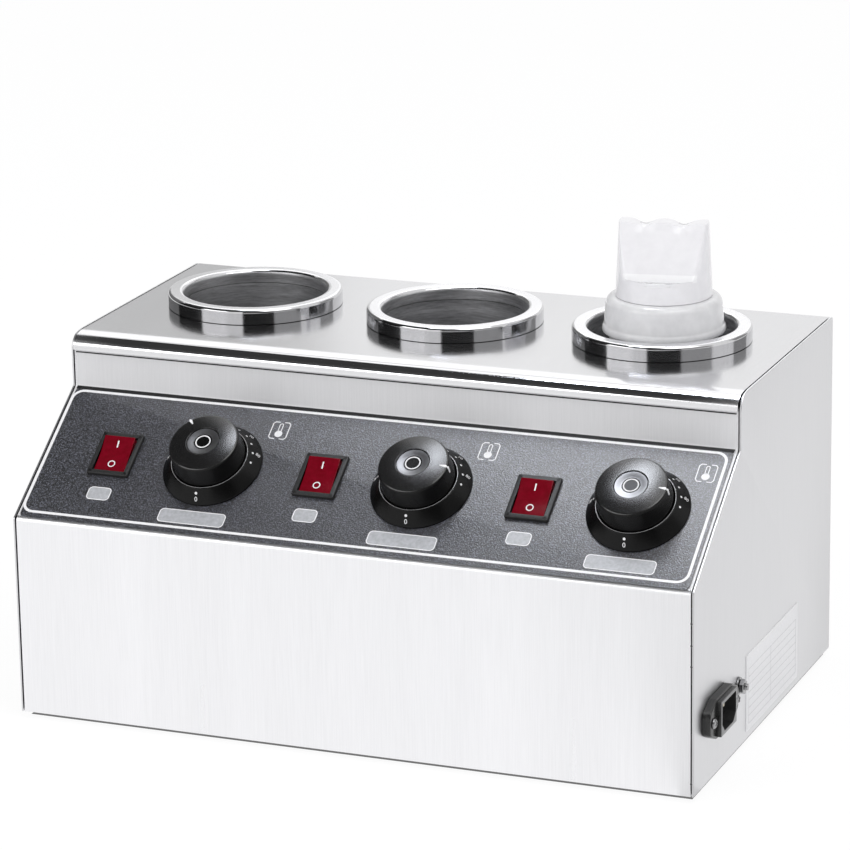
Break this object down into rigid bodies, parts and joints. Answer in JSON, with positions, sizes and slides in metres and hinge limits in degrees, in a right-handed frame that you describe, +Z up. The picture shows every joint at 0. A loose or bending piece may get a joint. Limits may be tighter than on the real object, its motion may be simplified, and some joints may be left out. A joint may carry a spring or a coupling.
{
  "type": "hot fudge topping warmer",
  "caption": "Counter-top topping warmer: stainless cabinet with a sloping control panel, heated bottle wells, thermostat knobs, rocker switches and a squeeze bottle.",
  "frame": {"origin": "middle of the whole object's footprint, at the level of the counter under the feet", "axes": "+X to the right seen from the front, +Y to the rear, +Z up"},
  "size_m": [0.4074, 0.2528, 0.273],
  "materials": {
    "brushed_steel": "brushed",
    "satin_side_steel": "satin",
    "polished_steel": "polished",
    "well_steel": "brushed",
    "charcoal_film": "matte",
    "black_plastic": "semi-gloss",
    "dial_plastic": "semi-gloss",
    "red_plastic": "gloss",
    "chrome": "polished",
    "black_rubber": "matte",
    "nickelled_brass": "plated",
    "mica_band": "satin",
    "brown_bakelite": "satin",
    "milky_plastic": "translucent satin",
    "label_film": "satin",
    "wire_sleeving": "matte",
    "nylon": "matte"
  },
  "bodies": {
    "cabinet": {"base_plate": "satin_side_steel", "control_overlay": "charcoal_film", "dial_1": "dial_plastic", "dial_2": "dial_plastic", "dial_3": "dial_plastic", "earth_nut": "polished_steel", "earth_stud": "polished_steel", "earth_washer": "polished_steel", "foot_1": "black_rubber", "foot_2": "black_rubber", "foot_3": "black_rubber", "foot_4": "black_rubber", "front_panel": "brushed_steel", "heater_band_1": "mica_band", "heater_band_2": "mica_band", "heater_band_3": "mica_band", "inlet_pin_earth": "nickelled_brass", "inlet_pin_line": "nickelled_brass", "inlet_pin_neutral": "nickelled_brass", "inlet_screw_1": "polished_steel", "inlet_screw_2": "polished_steel", "left_side_panel": "satin_side_steel", "power_inlet": "black_plastic", "rating_label": "label_film", "rear_panel": "satin_side_steel", "right_side_panel": "satin_side_steel", "sensor_bulb_1": "nickelled_brass", "sensor_bulb_2": "nickelled_brass", "sensor_bulb_3": "nickelled_brass", "switch_housing_1": "black_plastic", "switch_housing_2": "black_plastic", "switch_housing_3": "black_plastic", "terminal_block": "nylon", "thermostat_1": "brown_bakelite", "thermostat_2": "brown_bakelite", "thermostat_3": "brown_bakelite", "top_cover": "brushed_steel", "well_pot_1": "well_steel", "well_pot_2": "well_steel", "well_pot_3": "well_steel", "well_ring_1": "polished_steel", "well_ring_2": "polished_steel", "well_ring_3": "polished_steel", "wiring_loom": "wire_sleeving"},
    "left_knob": {"knob_1": "black_plastic", "knob_badge_1": "chrome", "thermostat_shaft_1": "nickelled_brass"},
    "left_rocker": {"rocker_1": "red_plastic"},
    "middle_knob": {"knob_2": "black_plastic", "knob_badge_2": "chrome", "thermostat_shaft_2": "nickelled_brass"},
    "middle_rocker": {"rocker_2": "red_plastic"},
    "right_knob": {"knob_3": "black_plastic", "knob_badge_3": "chrome", "thermostat_shaft_3": "nickelled_brass"},
    "right_rocker": {"rocker_3": "red_plastic"},
    "sauce_bottle": {"bottle": "milky_plastic"},
    "screw_cap": {"bottle_cap": "milky_plastic"},
    "hood": {"nozzle_hood": "milky_plastic"}
  },
  "joints": [
    {"name": "left_knob_turn", "type": "hinge", "parent": "cabinet", "child": "left_knob", "pos_m": [-0.09855, -0.0852, 0.14704], "axis": [0, -0.5667, 0.8239], "range_deg": [-130.75, 138]},
    {"name": "middle_knob_turn", "type": "hinge", "parent": "cabinet", "child": "middle_knob", "pos_m": [0.02645, -0.0852, 0.14704], "axis": [0, -0.5667, 0.8239], "range_deg": [0, 268.75]},
    {"name": "right_knob_turn", "type": "hinge", "parent": "cabinet", "child": "right_knob", "pos_m": [0.15145, -0.0852, 0.14704], "axis": [0, -0.5667, 0.8239], "range_deg": [0, 268.75]},
    {"name": "left_rocker_press", "type": "hinge", "parent": "cabinet", "child": "left_rocker", "pos_m": [-0.15825, -0.0852, 0.14704], "axis": [1, 0, 0], "range_deg": [-18, 0]},
    {"name": "middle_rocker_press", "type": "hinge", "parent": "cabinet", "child": "middle_rocker", "pos_m": [-0.03325, -0.0852, 0.14704], "axis": [1, 0, 0], "range_deg": [-18, 0]},
    {"name": "right_rocker_press", "type": "hinge", "parent": "cabinet", "child": "right_rocker", "pos_m": [0.09175, -0.0852, 0.14704], "axis": [1, 0, 0], "range_deg": [-18, 0]},
    {"name": "bottle_lift", "type": "slide", "parent": "cabinet", "child": "sauce_bottle", "axis": [0, 0, 1], "range_m": [0, 0.18]},
    {"name": "cap_turn", "type": "hinge", "parent": "sauce_bottle", "child": "screw_cap", "pos_m": [0.11995, 0.0504, 0.215], "axis": [0, 0, 1], "range_deg": [0, 540]},
    {"name": "hood_lift", "type": "slide", "parent": "screw_cap", "child": "hood", "axis": [0, 0, 1], "range_m": [0, 0.05]}
  ]
}
